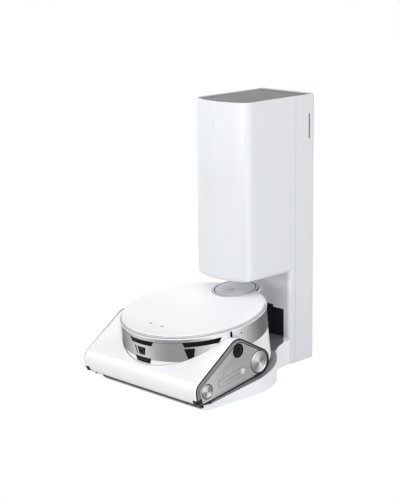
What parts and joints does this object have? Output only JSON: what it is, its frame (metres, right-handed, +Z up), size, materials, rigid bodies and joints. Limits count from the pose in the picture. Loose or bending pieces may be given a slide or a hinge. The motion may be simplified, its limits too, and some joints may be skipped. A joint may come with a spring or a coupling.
{
  "type": "robot vacuum",
  "caption": "Round robot vacuum with a plough-shaped brush front and laser turret, docked tilted on the ramp of its tall self-emptying station.",
  "frame": {"origin": "point on the floor, on the underside of the station, below the middle of the docked robot's round body", "axes": "+Z up; +Y towards the back of the station; -Y is the open front, where the robot drives out; +X to the right seen from the front"},
  "size_m": [0.32, 0.4303, 0.5507],
  "materials": {
    "white_shell": "smooth white moulded plastic, satin gloss",
    "robot_white": "smooth white moulded plastic",
    "silver_band": "satin silver metallised band",
    "brushed_metal": "fine brushed metal",
    "spun_metal": "spun, concentric brushing",
    "dark_window": "glossy infrared-dark plastic",
    "black_plastic": "matte black moulded plastic",
    "grey_plastic": "matte grey moulded plastic",
    "rubber": "soft matte rubber",
    "grey_rubber": "soft grey rubber",
    "tyre_rubber": "grooved rubber tyre",
    "contact_metal": "plated spring contact",
    "pin_steel": "ground steel pin",
    "motor_housing": "filled black plastic over a motor",
    "circuit_board": "solder-masked circuit board",
    "bag_fabric": "non-woven filter fabric",
    "filter_media": "pleated filter media",
    "light_pipe": "milky light pipe"
  },
  "bodies": {
    "station": {"base_plate": "grey_plastic", "base_feet": "rubber", "base_shell": "white_shell", "ramp_treads": "grey_rubber", "front_housing": "white_shell", "rear_housing": "white_shell", "hinge_cover": "brushed_metal", "hinge_pin": "pin_steel", "docking_panel": "dark_window", "port_seal": "rubber", "suction_duct": "grey_plastic", "dust_bag": "bag_fabric", "bag_shelf": "grey_plastic", "station_fan": "motor_housing", "exhaust_filter": "filter_media", "station_board": "circuit_board", "power_inlet": "black_plastic", "status_light": "light_pipe"},
    "lid": {"lid": "brushed_metal"},
    "contact_left": {"contact_pin_left": "contact_metal"},
    "contact_right": {"contact_pin_right": "contact_metal"},
    "robot": {"chassis": "black_plastic", "rear_shell": "robot_white", "rear_band": "silver_band", "frame_ring": "black_plastic", "top_rim": "robot_white", "top_cover": "robot_white", "turret_housing": "black_plastic", "turret_window": "dark_window", "turret_cap": "spun_metal", "front_shell": "robot_white", "side_rims": "brushed_metal", "side_panels": "brushed_metal", "hub_caps": "spun_metal", "side_sensors": "dark_window", "brush_tunnel": "black_plastic", "nose_guides": "rubber", "dust_bin": "grey_plastic", "rear_port": "black_plastic", "charge_plates": "contact_metal", "battery": "motor_housing", "main_board": "circuit_board", "suction_fan": "motor_housing"},
    "turret_rotor": {"turret_rotor": "black_plastic"},
    "bumper": {"bumper_carrier": "robot_white", "bumper_band": "silver_band", "bumper_windows": "dark_window"},
    "caster_fork": {"caster_fork": "grey_plastic"},
    "caster_wheel": {"caster_wheel": "black_plastic"},
    "brush": {"brush_core": "grey_plastic", "brush_blades": "rubber"},
    "port_flap": {"port_flap": "rubber"},
    "roller_left": {"corner_roller_left": "rubber"},
    "roller_right": {"corner_roller_right": "rubber"},
    "arm_left": {"wheel_arm_left": "black_plastic"},
    "arm_right": {"wheel_arm_right": "black_plastic"},
    "wheel_left": {"drive_wheel_left": "grey_plastic", "tyre_left": "tyre_rubber"},
    "wheel_right": {"drive_wheel_right": "grey_plastic", "tyre_right": "tyre_rubber"}
  },
  "joints": [
    {"name": "dock_travel", "type": "hinge", "parent": "station", "child": "robot", "pos_m": [0, -0.41365, 3.04794], "axis": [-1, 0, 0], "range_deg": [0, 7.8]},
    {"name": "lid_hinge", "type": "hinge", "parent": "station", "child": "lid", "pos_m": [0, 0.25, 0.5453], "axis": [-1, 0, 0], "range_deg": [0, 80]},
    {"name": "contact_left_press", "type": "slide", "parent": "station", "child": "contact_left", "axis": [0, 0.9907, 0.1357], "range_m": [0, 0.0012], "stiffness_N_per_m": 300, "springref_m": -0.002},
    {"name": "contact_right_press", "type": "slide", "parent": "station", "child": "contact_right", "axis": [0, 0.9907, 0.1357], "range_m": [0, 0.0012], "stiffness_N_per_m": 300, "springref_m": -0.002},
    {"name": "turret_spin", "type": "hinge", "parent": "robot", "child": "turret_rotor", "pos_m": [0, 0.10669, 0.1387], "axis": [0, -0.1357, 0.9907], "continuous": true},
    {"name": "bumper_press", "type": "slide", "parent": "robot", "child": "bumper", "axis": [0, 0.9907, 0.1357], "range_m": [0, 0.0025], "stiffness_N_per_m": 500, "springref_m": -0.004},
    {"name": "caster_swivel", "type": "hinge", "parent": "robot", "child": "caster_fork", "pos_m": [0, -0.06946, 0.04897], "axis": [0, -0.1357, 0.9907], "continuous": true},
    {"name": "caster_roll", "type": "hinge", "parent": "caster_fork", "child": "caster_wheel", "pos_m": [0, -0.07485, 0.02935], "axis": [1, 0, 0], "continuous": true},
    {"name": "brush_spin", "type": "hinge", "parent": "robot", "child": "brush", "pos_m": [0, -0.12426, 0.03641], "axis": [1, 0, 0], "continuous": true},
    {"name": "port_flap_swing", "type": "hinge", "parent": "robot", "child": "port_flap", "pos_m": [0, 0.15984, 0.10662], "axis": [1, 0, 0], "range_deg": [0, 45]},
    {"name": "roller_left_spin", "type": "hinge", "parent": "robot", "child": "roller_left", "pos_m": [-0.152, -0.15476, 0.02618], "axis": [0, -0.1357, 0.9907], "continuous": true},
    {"name": "roller_right_spin", "type": "hinge", "parent": "robot", "child": "roller_right", "pos_m": [0.152, -0.15476, 0.02618], "axis": [0, -0.1357, 0.9907], "continuous": true},
    {"name": "suspension_left", "type": "hinge", "parent": "robot", "child": "arm_left", "pos_m": [-0.094, -0.04011, 0.06308], "axis": [1, 0, 0], "range_deg": [0, 8], "stiffness_Nm_per_rad": 2.2, "springref_deg": -11.46},
    {"name": "suspension_right", "type": "hinge", "parent": "robot", "child": "arm_right", "pos_m": [0.094, -0.04011, 0.06308], "axis": [1, 0, 0], "range_deg": [0, 8], "stiffness_Nm_per_rad": 2.2, "springref_deg": -11.46},
    {"name": "wheel_left_spin", "type": "hinge", "parent": "arm_left", "child": "wheel_left", "pos_m": [-0.113, 0.00639, 0.06773], "axis": [1, 0, 0], "continuous": true},
    {"name": "wheel_right_spin", "type": "hinge", "parent": "arm_right", "child": "wheel_right", "pos_m": [0.113, 0.00639, 0.06773], "axis": [1, 0, 0], "continuous": true}
  ]
}
